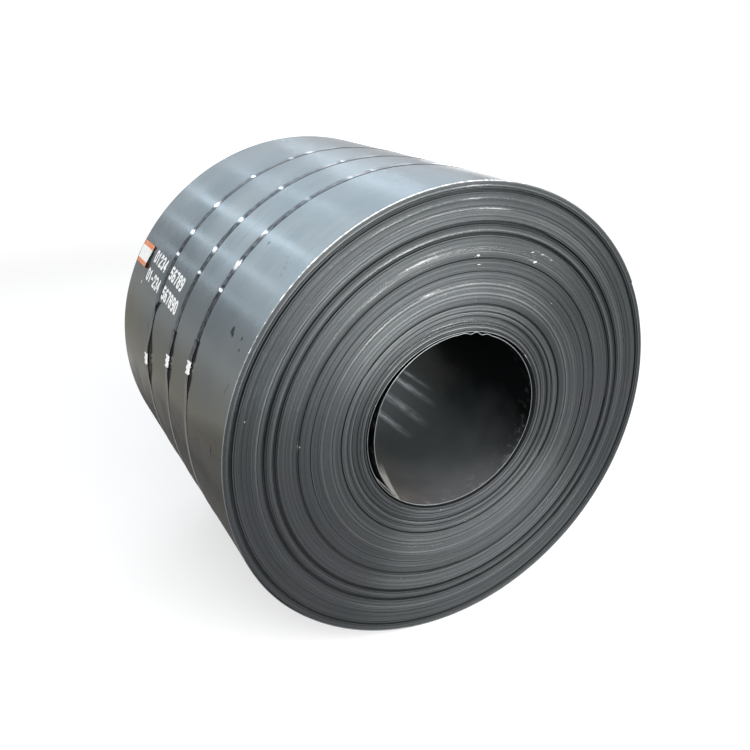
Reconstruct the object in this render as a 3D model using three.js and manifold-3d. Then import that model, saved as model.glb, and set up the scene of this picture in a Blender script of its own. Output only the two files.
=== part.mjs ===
// A wide steel coil lying on its side, bound round its girth with three steel straps.
// Millimetres, +Z up. The coil's axis runs along Y, with the near end towards -Y.
// Angles are measured round the axis from +X towards +Z, so 90 degrees is the top.

import * as THREE from 'three';
import { mergeVertices } from 'three/addons/utils/BufferGeometryUtils.js';
import Module from 'manifold-3d';

const wasm = await Module();
wasm.setup();

// ---------------------------------------------------------------- driving dimensions

// the strip and how it is wound
const stripWidth = 1510;          // along the axis
const stripThickness = 3.2;
const outerDiameter = 1940;
const wallBore = 796;             // inside diameter of the tight turns
const sag = 11;                   // each turn is this much wider, and this much lower, than round
const outerTailAngle = 30;        // where the outermost turn ends
const facets = 72;                // round the coil, with one facet flat at the bottom

// The turns have crept along the axis while they were wound. Each corner gives its place, as
// a share of the way from bore to rim, and how far the turns there sit towards the far end.
const endCorners = [
  [0.000, 25], [0.058, 27], [0.060, 31], [0.092, 31], [0.094, 34], [0.106, 34], [0.108, 27],
  [0.160, 19], [0.182, 17], [0.184, 25], [0.194, 25], [0.196, 15], [0.350, 6], [0.412, 4],
  [0.414, 9], [0.420, 9], [0.422, 3], [0.498, 0], [0.500, 8], [0.512, 8], [0.514, 0],
  [0.654, 0], [0.656, 13], [0.668, 13], [0.670, 2], [0.726, 2], [0.728, 12], [0.740, 12],
  [0.742, 0], [0.928, 0], [0.930, 13], [0.950, 13], [0.952, 3], [1.000, 0],
];
const endTrim = 12;               // spare length that the end cutters take off

// The innermost turns have sprung off the rest. Each pair is an angle, counted back from the
// strip's end in the bore, and the strip's distance there from the tight turns.
const looseTurns = [
  [226, 14], [210, 25], [190, 36], [170, 36], [150, 26], [120, 17], [90, 9], [60, 13],
  [30, 19], [0, 24], [-30, 24], [-60, 20], [-90, 18], [-110, 14], [-134, 10], [-170, 6.5],
  [-210, 5], [-240, 4.5], [-270, 3], [-300, 1.2], [-322.5, 0.3],
];

// the straps and their seals
const strapWidth = 32;
const strapThickness = 1.0;
const strapRamp = 70;             // length in which a strap climbs off the coil into its seal
const strapUnderlap = 45;         // how far its inner end reaches below the seal's middle
const strapStand = 4;             // how far the crimped joint stands off the coil
const farStrapStand = 7.5;
const standRamp = 130;            // length in which a strap leaves the coil for that
const nearStrapPlace = 436;       // from the near end's highest turns
const middleStrapPlace = 700;
const farStrapPlace = 1019;
const nearStrapTail = 110;        // how far its outer end reaches above the seal's middle
const middleStrapTail = 130;
const farStrapTail = 265;
const tailSpring = 2.5;           // how far an outer end's corner has sprung up
const farTailSpring = 12;
const sprungLength = 60;          // length of the outer end that has sprung
const sealLength = 52;
const sealWall = 1.4;
const notchWidth = 7;
const notchDepth = 5.5;
const notchPitch = 24;            // between the two pairs of notches
const clearance = 0.3;            // between pieces that touch

// ---------------------------------------------------------------- worked-out sizes

const rimRadius = outerDiameter / 2;
const wallRadius = wallBore / 2;
const facetAngle = 360 / facets;
const toRadians = THREE.MathUtils.degToRad;
const toDegrees = THREE.MathUtils.radToDeg;

// The outermost turn steps down by one thickness at its end.
function outsideRadius(angle) {
  const turned = THREE.MathUtils.euclideanModulo(angle - outerTailAngle, 360) / 360;
  return rimRadius - stripThickness * turned;
}

// A strap bridges that step: it leaves the end's corner in a straight line.
function strapRadius(angle) {
  const bridge = toDegrees(Math.sqrt((2 * stripThickness) / rimRadius));
  const toEnd = THREE.MathUtils.euclideanModulo(outerTailAngle - angle, 360);
  const rise = Math.max(0, 1 - toEnd / bridge);
  return toEnd === 0 ? rimRadius : outsideRadius(angle) + stripThickness * rise;
}

function polar(angle, radius) {
  const a = toRadians(angle);
  return new THREE.Vector2(radius * Math.cos(a), radius * Math.sin(a));
}

// Angles of the facets' corners between two angles, with both ends included.
function cornerAngles(from, to) {
  const angles = [from];
  const first = Math.ceil(from / facetAngle - 0.5 + 1e-6);
  for (let i = first; (i + 0.5) * facetAngle < to - 1e-6; i += 1) {
    angles.push((i + 0.5) * facetAngle);
  }
  angles.push(to);
  return angles;
}

// ---------------------------------------------------------------- solids

function toSolid(geometry) {
  const bare = geometry.clone();
  bare.deleteAttribute('normal');
  bare.deleteAttribute('uv');
  const merged = mergeVertices(bare, 1e-4);
  return new wasm.Manifold(new wasm.Mesh({
    numProp: 3,
    vertProperties: new Float32Array(merged.attributes.position.array),
    triVerts: new Uint32Array(merged.index.array),
  }));
}

function toGeometry(solid) {
  const mesh = solid.getMesh();
  const geometry = new THREE.BufferGeometry();
  geometry.setAttribute('position', new THREE.BufferAttribute(mesh.vertProperties, 3));
  geometry.setIndex(new THREE.BufferAttribute(mesh.triVerts, 1));
  return geometry;
}

// Moves every vertex of a geometry by a function of its place.
function reshape(geometry, place) {
  const position = geometry.attributes.position;
  const point = new THREE.Vector3();
  for (let i = 0; i < position.count; i += 1) {
    point.fromBufferAttribute(position, i);
    place(point);
    position.setXYZ(i, point.x, point.y, point.z);
  }
  return geometry;
}

// ---------------------------------------------------------------- the coil

// The coil's outside as an outline that steps down at the end of the outermost turn.
function rimOutline() {
  const angles = cornerAngles(outerTailAngle, outerTailAngle + 360);
  const outline = angles.slice(0, -1).map((angle) => polar(angle, outsideRadius(angle)));
  outline.push(polar(outerTailAngle, rimRadius - stripThickness));
  return outline;
}

// The loose turns' distance from the tight turns, eased between the given pairs.
function looseStandoff(angle) {
  const next = looseTurns.findIndex(([at]) => at <= angle);
  if (next <= 0) return looseTurns[Math.max(next, 0)][1];
  const [fromAngle, fromGap] = looseTurns[next - 1];
  const [toAngle, toGap] = looseTurns[next];
  return THREE.MathUtils.mapLinear(angle, fromAngle, toAngle, fromGap, toGap);
}

// The bore as one outline: along the inside of the loose turns from the strip's end to their
// root, once round the tight turns, and back along the outside of the loose turns.
function boreOutline() {
  const tail = looseTurns[0][0];
  const root = looseTurns[looseTurns.length - 1][0];
  const joined = root + facetAngle;
  const along = cornerAngles(root, tail);
  const inside = along.map((angle) => polar(angle, wallRadius - looseStandoff(angle) - stripThickness));
  const wall = cornerAngles(joined, root + 360).map((angle) => polar(angle, wallRadius));
  const outside = along.slice(1).map((angle) => polar(angle, wallRadius - looseStandoff(angle)));
  return [...inside.reverse(), ...wall.reverse(), ...outside];
}

// A ring that trims one end of the coil to its bands of turns. side is -1 near and 1 far.
function endCutter(side) {
  const end = (side * stripWidth) / 2;
  const clear = end + side * (Math.max(...endCorners.map(([, shift]) => shift)) + 2 * endTrim);
  const innermost = wallRadius - Math.max(...looseTurns.map(([, gap]) => gap)) - stripThickness;
  const build = rimRadius - wallRadius;
  const corners = endCorners.map(([share, shift]) => [wallRadius + build * share, end + shift]);
  corners[0][0] = innermost - endTrim;
  corners[corners.length - 1][0] = rimRadius + endTrim;
  corners.push([rimRadius + endTrim, clear], [innermost - endTrim, clear], corners[0]);
  if (side < 0) corners.reverse();
  const profile = corners.map(([radius, y]) => new THREE.Vector2(radius, y));
  return toSolid(new THREE.LatheGeometry(profile, facets, toRadians(facetAngle / 2)));
}

function coilGeometry() {
  const section = new THREE.Shape(rimOutline());
  section.holes.push(new THREE.Path(boreOutline()));
  const spare = Math.max(...endCorners.map(([, shift]) => shift)) + endTrim;
  const length = stripWidth + 2 * spare;
  const block = new THREE.ExtrudeGeometry(section, { depth: length, bevelEnabled: false });
  reshape(block, (p) => p.set(p.x, length / 2 - p.z, p.y));
  const turned = toSolid(block).subtract(endCutter(-1)).subtract(endCutter(1));
  return reshape(toGeometry(turned), (p) => {
    const radius = Math.hypot(p.x, p.z);
    p.set((p.x * (radius + sag)) / radius, p.y, (p.z * (radius - sag)) / radius);
  });
}

// ---------------------------------------------------------------- straps and seals

// A point laid on the coil: round from the seal's middle, along the axis from the strap's
// middle, and above the coil's outside.
function laidOn(strap, round, across, above) {
  const angle = strap.sealAngle + toDegrees(round / rimRadius);
  const a = toRadians(angle);
  const radius = strapRadius(angle) + above;
  return new THREE.Vector3(
    (radius + sag) * Math.cos(a),
    strap.place - stripWidth / 2 + across,
    (radius - sag) * Math.sin(a),
  );
}

// A box laid on the coil, with its long way cut into steps so that it follows the curve.
// Laying it down turns it inside out, so it is turned end for end to put that right.
function laidBox(strap, round, across, above, size) {
  const box = new THREE.BoxGeometry(size.x, size.y, size.z, 4, 1, 1);
  return reshape(box, (p) => p.copy(laidOn(strap, round - p.x, across + p.y, above + p.z)));
}

// How high a strap's underside runs. It stands off the coil at its joint, climbs over the
// seal's lower wall, and its outer end lies on top of its inner end and springs up at its tip.
function strapHeight(strap, round, outer) {
  const flat = sealLength / 2 + 4;
  const near = Math.abs(round);
  const climb = 1 - THREE.MathUtils.smoothstep(near, flat, flat + strapRamp);
  const stand = 1 - THREE.MathUtils.smoothstep(near, flat, flat + standRamp);
  const doubled = outer ? 1 - THREE.MathUtils.smoothstep(round, strapUnderlap + 5, strapUnderlap + strapRamp) : 0;
  const tip = outer ? Math.max(0, 1 - (round + strap.tail) / sprungLength) : 0;
  return clearance + strap.stand * stand + (sealWall + clearance) * climb
    + (strapThickness + clearance) * doubled + strap.spring * tip * tip;
}

// Where a strap has a section, as distances from its inner end: close together at the seal,
// and elsewhere at the coil's own corners.
function strapTravel(strap) {
  const girth = 2 * Math.PI * rimRadius;
  const closeSteps = 18;
  const nearSeal = sealLength / 2 + 4 + Math.max(strapRamp, standRamp);
  const first = strapUnderlap + nearSeal;
  const last = girth + strapUnderlap - nearSeal;
  const end = girth + strapUnderlap + strap.tail;
  const travel = [];
  for (let i = 0; i <= closeSteps; i += 1) travel.push((first * i) / closeSteps);
  const angles = cornerAngles(strap.sealAngle - 360, strap.sealAngle).slice(1, -1);
  angles.push(outerTailAngle - (outerTailAngle < strap.sealAngle ? 0 : 360));
  for (const angle of angles) {
    const at = strapUnderlap + toRadians(strap.sealAngle - angle) * rimRadius;
    if (at > first + 5 && at < last - 5) travel.push(at);
  }
  for (let i = 0; i <= closeSteps * 2; i += 1) travel.push(last + ((end - last) * i) / (closeSteps * 2));
  return travel.sort((a, b) => a - b);
}

// One strap as a ribbon: a rectangle carried round the coil, with its two ends closed.
function strapGeometry(strap) {
  const half = strapWidth / 2;
  const girth = 2 * Math.PI * rimRadius;
  const positions = [];
  const index = [];
  const travel = strapTravel(strap);
  travel.forEach((at, i) => {
    const outer = at > girth / 2;
    const round = strapUnderlap - at + (outer ? girth : 0);
    const low = strapHeight(strap, round, outer);
    const high = low + strapThickness;
    for (const [across, above] of [[-half, low], [half, low], [half, high], [-half, high]]) {
      positions.push(...laidOn(strap, strapUnderlap - at, across, above).toArray());
    }
    if (i > 0) {
      for (let j = 0; j < 4; j += 1) {
        const a = (i - 1) * 4 + j;
        const b = (i - 1) * 4 + ((j + 1) % 4);
        index.push(a, b, a + 4, b, b + 4, a + 4);
      }
    }
  });
  const end = (travel.length - 1) * 4;
  index.push(0, 2, 1, 0, 3, 2);
  index.push(end, end + 1, end + 2, end, end + 2, end + 3);
  const geometry = new THREE.BufferGeometry();
  geometry.setAttribute('position', new THREE.Float32BufferAttribute(positions, 3));
  geometry.setIndex(index);
  return geometry;
}

// The crimping tool cuts two pairs of notches through the seal's edges and the straps'.
function notchCutters(strap) {
  const edge = strapWidth / 2 + clearance + sealWall;
  const size = new THREE.Vector3(notchWidth, 2 * notchDepth, 8 * (sealWall + strapThickness));
  const cutters = [];
  for (const round of [-notchPitch / 2, notchPitch / 2]) {
    for (const side of [-1, 1]) cutters.push(toSolid(laidBox(strap, round, side * edge, strap.stand, size)));
  }
  return cutters;
}

function notched(solid, strap) {
  return notchCutters(strap).reduce((rest, cutter) => rest.subtract(cutter), solid);
}

function sealGeometry(strap) {
  const room = 2 * strapThickness + 3 * clearance;
  const height = room + 2 * sealWall;
  const outer = new THREE.Vector3(sealLength, strapWidth + 2 * (clearance + sealWall), height);
  const inner = new THREE.Vector3(sealLength * 1.2, strapWidth + 2 * clearance, room);
  const middle = clearance + strap.stand + height / 2;
  const sleeve = toSolid(laidBox(strap, 0, 0, middle, outer));
  return toGeometry(notched(sleeve.subtract(toSolid(laidBox(strap, 0, 0, middle, inner))), strap));
}

// ---------------------------------------------------------------- the part

const straps = [
  { name: 'near', place: nearStrapPlace, sealAngle: 164, tail: nearStrapTail, stand: strapStand, spring: tailSpring },
  { name: 'middle', place: middleStrapPlace, sealAngle: 168, tail: middleStrapTail, stand: strapStand, spring: tailSpring },
  { name: 'far', place: farStrapPlace, sealAngle: 174, tail: farStrapTail, stand: farStrapStand, spring: farTailSpring },
];

const millScale = new THREE.MeshStandardMaterial({ color: 0x6f7780, roughness: 0.42, metalness: 0.85 });
const strapSteel = new THREE.MeshStandardMaterial({ color: 0x4a4f55, roughness: 0.45, metalness: 0.8 });
const sealSteel = new THREE.MeshStandardMaterial({ color: 0xc9cbc8, roughness: 0.35, metalness: 0.9 });

const part = new THREE.Group();

function addPiece(name, geometry, material) {
  const mesh = new THREE.Mesh(geometry, material);
  mesh.name = name;
  part.add(mesh);
}

addPiece('coil', coilGeometry(), millScale);
for (const strap of straps) {
  addPiece(`strap_${strap.name}`, toGeometry(notched(toSolid(strapGeometry(strap)), strap)), strapSteel);
  addPiece(`seal_${strap.name}`, sealGeometry(strap), sealSteel);
}

// The straps touch the floor. The origin is on the floor, midway between the part's two ends.
const bounds = new THREE.Box3().setFromObject(part);
part.position.set(0, -(bounds.min.y + bounds.max.y) / 2, -bounds.min.z);

export default part;
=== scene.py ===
# %% [markdown]
# # A coil of hot-rolled steel
#
# One strip of steel, about three millimetres thick and a metre and a half wide, is wound into
# a roll that weighs close to thirty tonnes. Three steel straps hold it shut. This file starts
# from the imported solids, keeps their sizes and places, and builds the surface that the eye
# sees: every turn of the strip, the sprung turns in the bore, the straps with their crimped
# seals, the painted figures and the paper label.
#
# The solids come first.

# %% Load the solids
import math

import bpy
import numpy as np
from mathutils import Matrix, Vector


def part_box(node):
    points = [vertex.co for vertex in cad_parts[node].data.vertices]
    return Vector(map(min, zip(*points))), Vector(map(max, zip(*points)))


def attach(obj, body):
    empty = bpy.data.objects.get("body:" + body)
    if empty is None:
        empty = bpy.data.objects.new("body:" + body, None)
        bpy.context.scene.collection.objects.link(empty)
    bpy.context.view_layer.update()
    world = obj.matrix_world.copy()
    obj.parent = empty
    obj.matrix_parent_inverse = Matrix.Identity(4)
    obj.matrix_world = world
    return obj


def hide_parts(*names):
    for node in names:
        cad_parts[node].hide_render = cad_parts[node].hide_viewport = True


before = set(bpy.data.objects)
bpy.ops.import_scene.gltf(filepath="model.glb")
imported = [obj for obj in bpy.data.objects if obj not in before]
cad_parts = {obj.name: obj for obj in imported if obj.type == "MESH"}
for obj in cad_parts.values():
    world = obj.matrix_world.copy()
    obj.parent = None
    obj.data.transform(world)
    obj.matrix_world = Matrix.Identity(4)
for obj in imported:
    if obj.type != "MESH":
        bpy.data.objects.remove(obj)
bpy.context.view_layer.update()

# %% [markdown]
# ## Sizes
#
# The coil lies on its side with its axis along Y, and the near end faces -Y. Angles are
# measured round the axis from +X towards +Z, so 90 degrees is the top. The steel is so heavy
# that each turn sags into an oval, a little wider than it is high.
#
# The solids are cut into 72 flat facets. A true circle through their corners would stand a
# millimetre proud of the flats, so every radius here is drawn in to where the flats are.
#
# The straps are listed here too, because the painted shade under each strap, where it stands off
# the coil at its seal, follows them.

# %% Name the sizes, in metres
strip_width = 1.510
strip_thickness = 0.0032
rim_radius = 0.970
wall_radius = 0.398
sag = 0.011
inner_tail_angle = 226
outer_tail_angle = 30
half_facet = math.radians(2.5)
to_flats = math.cos(half_facet)
lowest_corner_angle = 267.5

coil_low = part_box("coil")[0]
near_rim = coil_low.y
lowest_corner = rim_radius - strip_thickness * (lowest_corner_angle - outer_tail_angle) / 360
axis_height = coil_low.z + (lowest_corner - sag) * to_flats
print("near rim at y", round(near_rim, 4), "and axis at z", round(axis_height, 4))

# %% Name the straps
# each strap's place from the near rim, its seal's angle, the tail above the seal, how far the
# joint stands off and the tip springs up, and painted glints: angle, half length, strength
straps = {
    "near": {
        "place": 0.436, "seal_angle": 164, "tail": 0.110, "stand": 0.004, "spring": 0.0025,
        "painted_glints": [(102.5, 0.4, 0.25), (105.9, 0.6, 0.25), (129.3, 1.1, 0.3), (138.3, 1.3, 0.6),
                 (145.0, 0.4, 0.8)]},
    "middle": {
        "place": 0.700, "seal_angle": 168, "tail": 0.130, "stand": 0.004, "spring": 0.0025,
        "painted_glints": [(101.9, 0.4, 0.3), (116.9, 0.35, 0.6), (129.3, 0.7, 0.45), (138.6, 0.6, 0.9),
                 (144.9, 0.35, 0.7)]},
    "far": {
        "place": 1.019, "seal_angle": 174, "tail": 0.265, "stand": 0.0075, "spring": 0.012,
        "painted_glints": [(100.6, 0.4, 0.6), (105.6, 0.6, 0.6), (116.8, 0.5, 0.5), (128.7, 1.2, 0.6),
                 (138.2, 0.7, 0.8), (144.7, 0.35, 0.8)]},
}
print("straps at", [strap["place"] for strap in straps.values()], "m from the near rim")

# %% [markdown]
# ## Camera
#
# The camera stands to the left of the near end and looks down at it. Its direction is given
# by two angles and a roll, which read more easily than a matrix: the matrix is put together
# here from the three directions that they stand for.

# %% Make the camera
camera_place = np.array([-1.626, -3.027, 2.350])
camera_azimuth, camera_elevation, camera_roll = np.radians([-28.79, 23.15, -0.73])
image_width, focus_in_pixels = 750, 774.8
sensor_width = 36


def unit(vector):
    """A direction: the vector divided by its own length."""
    return np.array(vector, float) / np.linalg.norm(vector)


def set_up(name, data, x_way, y_way, z_way, place):
    """A new object at a place, turned so that its own three directions run those ways. They
    are the first three columns of its matrix, and its place is the fourth."""
    matrix = np.eye(4)
    matrix[:3, :4] = np.stack([x_way, y_way, z_way, place], axis=1)
    made = bpy.data.objects.new(name, data)
    bpy.context.scene.collection.objects.link(made)
    made.matrix_world = Matrix(matrix.tolist())
    return made


forward = np.array([
    -math.sin(camera_azimuth) * math.cos(camera_elevation),
    math.cos(camera_azimuth) * math.cos(camera_elevation),
    -math.sin(camera_elevation),
])
level = unit(np.cross(forward, [0, 0, 1]))
upright = np.cross(level, forward)
right = level * math.cos(camera_roll) - upright * math.sin(camera_roll)
up = level * math.sin(camera_roll) + upright * math.cos(camera_roll)

lens = bpy.data.cameras.new("camera")
lens.lens = focus_in_pixels / image_width * sensor_width
lens.sensor_width = sensor_width
lens.clip_end = 200
bpy.context.scene.camera = set_up("camera", lens, right, up, -forward, camera_place)
print("camera at", camera_place, "with a lens of", round(lens.lens, 2), "mm")

# %% [markdown]
# ## Light
#
# Steel shows its surroundings more than its own colour, so the lights matter as surfaces as
# much as lamps. Three long softboxes behind the coil, stacked above the horizon, lie where
# the curved side reflects them: the side is pale above and dark below them, with a soft edge
# that runs along the coil. A fourth stands low on the right, where the very top of the coil
# mirrors it. Tubes in front of them lean so that each one's reflection also runs along the
# coil: the satin steel blurs it into a pale band, and the straps show it as a small glint.
#
# Four softboxes in front are caught by the ridged edges of the turns wherever these run
# across the light, which gives the end its bright sectors: one ahead of it, one above that,
# and one on either side. The camera itself sees none of the lamps.

# %% Hang the softboxes and the tubes
bpy.context.scene.view_settings.view_transform = "Standard"


def hang(name, place, side, away, width, height, brightness, colour):
    """A rectangular lamp whose width runs along side and whose back is turned away. Its power
    is brightness times pi times its area, so that its face looks that bright in a mirror."""
    lamp = bpy.data.lights.new(name, "AREA")
    lamp.shape = "RECTANGLE"
    lamp.size, lamp.size_y = width, height
    lamp.energy = brightness * math.pi * width * height
    lamp.color = colour
    set_up(name, lamp, side, np.cross(away, side), away, place).visible_camera = False


def softbox(name, place, target, width, height, brightness, colour):
    """A softbox with level top and bottom edges, whose face is turned to the target."""
    away = unit(np.subtract(place, target))
    side = unit(np.cross([0, 0, 1], away))
    hang(name, place, side, away, width, height, brightness, colour)


def tube(name, start, end, thickness, brightness, colour):
    """A straight tube from start to end, which shines towards -Y."""
    run = np.subtract(end, start)
    away = unit(np.cross(np.cross(run, [0, 1, 0]), run))
    hang(name, np.add(start, end) / 2, unit(run), away, np.linalg.norm(run), thickness,
         brightness, colour)


cool, plain_white, tube_white = (0.88, 0.95, 1.0), (1.0, 0.99, 0.98), (0.92, 0.97, 1.0)
# softboxes: name, place, target, width, height, brightness and colour
softboxes = [
    ("back_low_softbox", (0.0, 6.0, 3.4), (0.0, 0.0, 3.4), 10.0, 1.0, 1.12, cool),
    ("back_middle_softbox", (0.8, 6.0, 4.3), (0.8, 0.0, 4.3), 11.0, 0.8, 1.75, cool),
    ("back_high_softbox", (0.8, 6.0, 5.6), (0.8, 0.0, 5.6), 11.0, 1.8, 2.3, cool),
    ("back_right_softbox", (5.6, 6.0, 1.1), (5.6, 0.0, 1.1), 3.0, 2.0, 1.5, plain_white),
    ("front_softbox", (2.0, -7.5, 2.7), (2.0, 0.0, 2.7), 12.0, 3.4, 5.4, plain_white),
    ("front_high_softbox", (1.3, -6.0, 5.7), (0.9, -0.8, 1.3), 9.6, 2.6, 6.5, plain_white),
    ("front_left_softbox", (-5.2, -4.9, 1.6), (-0.6, -0.8, 1.3), 3.2, 2.2, 5.6, cool),
    ("front_right_softbox", (6.4, -3.8, 2.7), (0.5, -0.8, 1.3), 5.0, 2.8, 3.4, plain_white),
]
# tubes in front of the back softboxes: start, end, thickness and brightness
tubes = [
    ((-1.75, 5.9, 4.93), (-1.20, 5.9, 3.35), 0.14, 6.5),
    ((-3.08, 5.9, 3.98), (-1.92, 5.9, 2.81), 0.10, 5.5),
    ((-3.85, 5.9, 2.95), (-2.37, 5.9, 2.25), 0.06, 6.0),
    ((3.30, 5.9, 5.70), (1.75, 5.9, 4.04), 0.50, 2.6),
    ((0.37, 5.9, 5.40), (-0.03, 5.9, 3.64), 0.035, 14.0),
    ((3.30, 5.9, 4.45), (1.60, 5.9, 3.20), 0.035, 14.0),
]
for settings in softboxes:
    softbox(*settings)
for number, settings in enumerate(tubes):
    tube(f"back_tube_{number}", *settings, tube_white)
print("hung", len(softboxes), "softboxes and", len(tubes), "tubes")

# %% [markdown]
# ## Floor and background
#
# The background is white. The world is white only for rays that come straight from the
# camera or from a mirror, and a plain grey for the rays that carry light, so the white adds
# no light to the object. The floor is pale paint that takes a real shadow, with a share of
# its own light for the same rays. The share grows from 4 to 14 metres away, so the floor
# keeps the coil's shadow near it and melts into the white further off.
#
# A finish in Blender is a tree of nodes, and so is the world. Two helpers keep every tree in
# this file short: one adds a node, and the other gives it what goes into it. The rest are
# built on these two, and name what they do. A socket knows the tree that it is in, so they
# need only the sockets that they work on.

# %% Helpers for node trees
def feed(node, inputs):
    """Gives a node its inputs, each by its name or number. A socket is linked to the input,
    and a number, a direction or a colour is set on it."""
    for which, value in inputs.items():
        socket = node.inputs[which]
        if isinstance(value, bpy.types.NodeSocket):
            socket.id_data.links.new(value, socket)
        else:
            socket.default_value = (*value, 1) if socket.type == "RGBA" else value


def add(tree, kind, inputs=None, **settings):
    """Adds a node to a tree, with its settings made and its inputs fed. Gives its outputs."""
    node = tree.nodes.new("ShaderNode" + kind)
    for setting, value in settings.items():
        setattr(node, setting, value)
    feed(node, inputs or {})
    return node.outputs


def reckon(kind, *values):
    """One sum on one or two values, which are numbers or sockets, with one socket at least."""
    tree = next(v for v in values if isinstance(v, bpy.types.NodeSocket)).id_data
    return add(tree, "Math", dict(enumerate(values)), operation=kind)[0]


def plus(first, second):
    """The sum of two values."""
    return reckon("ADD", first, second)


def times(first, second):
    """The product of two values."""
    return reckon("MULTIPLY", first, second)


def ranged(value, low, high, to_low=0.0, to_high=1.0, **settings):
    """Takes low..high to to_low..to_high, and holds it there outside that range."""
    return add(value.id_data, "MapRange", {
        "Value": value, "From Min": low, "From Max": high, "To Min": to_low,
        "To Max": to_high}, **settings)["Result"]


def shown_directly(tree):
    """1 for camera, mirror and glass rays, and 0 for the rest: the largest of three outputs."""
    path = add(tree, "LightPath")
    seen = reckon("MAXIMUM", path["Is Camera Ray"], path["Is Glossy Ray"])
    return reckon("MAXIMUM", seen, path["Is Transmission Ray"])


print("helpers for node trees ready")

# %% Make the world and the floor
surround_colour, surround_strength = (0.97, 0.98, 1.0), 0.55
floor_size, floor_grey = 60, (0.5, 0.5, 0.5)
# the floor's own light grows from this share near the coil to all of it far away
near_distance, far_distance, near_share = 4.0, 14.0, 0.55

world = bpy.data.worlds.new("studio")
world.use_nodes = True
bpy.context.scene.world = world
sky = world.node_tree
sky.nodes.clear()
plain_light = add(sky, "Background", {"Color": surround_colour,
                                      "Strength": surround_strength})[0]
white = add(sky, "Background", {"Color": (1, 1, 1), "Strength": 1.0})[0]
either = add(sky, "MixShader", {0: shown_directly(sky), 1: plain_light, 2: white})[0]
add(sky, "OutputWorld", {"Surface": either})

floor_mesh = bpy.data.meshes.new("floor")
floor_corners = np.array([(-1, -1, 0), (1, -1, 0), (1, 1, 0), (-1, 1, 0)]) * floor_size
floor_mesh.from_pydata(floor_corners.tolist(), [], [(0, 1, 2, 3)])
floor = bpy.data.objects.new("floor", floor_mesh)
bpy.context.scene.collection.objects.link(floor)

floor_paint = bpy.data.materials.new("floor_paint")
floor_paint.use_nodes = True
ground = floor_paint.node_tree
ground.nodes.clear()
from_coil = add(ground, "VectorMath", {0: add(ground, "TexCoord")["Object"]},
                operation="LENGTH")["Value"]
own_light = ranged(from_coil, near_distance, far_distance, near_share, 1.0,
                   interpolation_type="SMOOTHSTEP")
glow = add(ground, "Emission", {"Color": (1, 1, 1),
                                "Strength": times(shown_directly(ground), own_light)})[0]
matt = add(ground, "BsdfDiffuse", {"Color": floor_grey})[0]
add(ground, "OutputMaterial", {"Surface": add(ground, "AddShader", {0: matt, 1: glow})[0]})
floor_mesh.materials.append(floor_paint)
print("floor of", 2 * floor_size, "m and a white background")

# %% [markdown]
# ## The way the strip is wound
#
# The whole coil is one strip, so one rule places all of it. It says how far the strip lies
# from the axis after it has been unwound by a given angle from its inner end. The first turn
# and a half have sprung off the rest and hang in the bore. After them each turn lies tight on
# the one before it, one thickness further out.
#
# A stack of rings, each inside the next, would be simpler to draw. It would have no ends,
# though, and it is the two ends that tell a coil from a ringed block: the step on the outside
# and the loose tail in the bore.

# %% Say where the strip lies
# Distance of the sprung turns from the tight ones, in millimetres, at angles counted back
# from the strip's end in the bore.
sprung_angles = [226, 221, 214, 206, 190, 170, 150, 120, 90, 60, 30, 0, -30, -60, -90, -110, -134,
                 -170, -210, -240, -270, -300, -322]
sprung_gaps = [15, 23, 28, 31, 36, 36, 26, 17, 9, 13, 19, 24, 24, 20, 18, 14, 10,
               6.5, 5, 4.5, 3, 1.2, 0.3]
sprung_travel = inner_tail_angle - sprung_angles[-1]
whole_turns = 179
# angles fall along the strip, so it makes whole turns and the angle between its two tails
whole_travel = 360 * whole_turns + inner_tail_angle - outer_tail_angle
pitch = (rim_radius - wall_radius) / ((whole_travel - sprung_travel) / 360)
bend_spread = np.linspace(-7, 7, 15)


def eased_gap(angle):
    """Gap of the sprung turns in metres: straight lines between the named places, averaged
    over seven degrees either way so that the strip bends smoothly."""
    at = np.clip(np.add.outer(angle, bend_spread), sprung_angles[-1], sprung_angles[0])
    return np.interp(at, sprung_angles[::-1], sprung_gaps[::-1]).mean(axis=-1) / 1000


def strip_inside(travel):
    """Radius of the strip's inner face after an angle of travel from its inner end. Sprung:
    wall radius less the gap and one thickness. Tight: that radius plus the pitch per turn."""
    sprung = wall_radius - eased_gap(inner_tail_angle - travel) - strip_thickness
    tight = wall_radius - strip_thickness + pitch * (travel - sprung_travel) / 360
    return np.where(travel < sprung_travel, sprung, tight)


def outside_at(angle):
    """Radius of the coil's outside: it falls by one thickness in a turn from the outer end."""
    return rim_radius - strip_thickness * np.mod(angle - outer_tail_angle, 360) / 360


def on_coil(angle, radius, y):
    """A point at an angle and a radius: across is (radius + sag) times the cosine, and up is
    (radius - sag) times the sine, above the axis. Radii are drawn in to the flats first."""
    a, drawn = np.radians(angle), radius * to_flats
    return np.stack(np.broadcast_arrays(
        (drawn + sag) * np.cos(a), y, axis_height + (drawn - sag) * np.sin(a)), axis=-1)


print("strip unwinds through", round(whole_travel / 360, 2), "turns with a pitch of",
      round(pitch * 1000, 4), "mm")

# %% [markdown]
# ## The ends of the coil
#
# The turns have crept along the axis as the coil was wound, so its near end is dished towards
# the bore and ringed by turns that lie deeper than their neighbours. The strip keeps its
# width, so whatever one end loses the other gains. Three rules are added up: a broad dish,
# the rings, and a small random step from turn to turn.
#
# A bump pattern in the finish could only pretend to be this deep. Here the turns themselves
# are moved, so a deep ring lies in real shadow, and a slanting view hides its floor.
#
# The same rings decide how bright each edge is. A proud edge is painted lighter, partly
# because it is rubbed clean and partly as a painted highlight where it catches the light, and
# a deep one is painted darker, partly for its dust and partly as painted shade in its recess.
# Where a hook or a sling has dragged over the end it has bruised a patch of edges, and those
# places are listed one by one.

# %% Say how far each turn has crept
dish_radii = [0.398, 0.431, 0.455, 0.491, 0.503, 0.600, 0.634, 0.683, 0.970]
dish_depths = [25, 27, 27.5, 18, 16, 6, 4, 0.5, 0.5]
most_creep = 34

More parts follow.
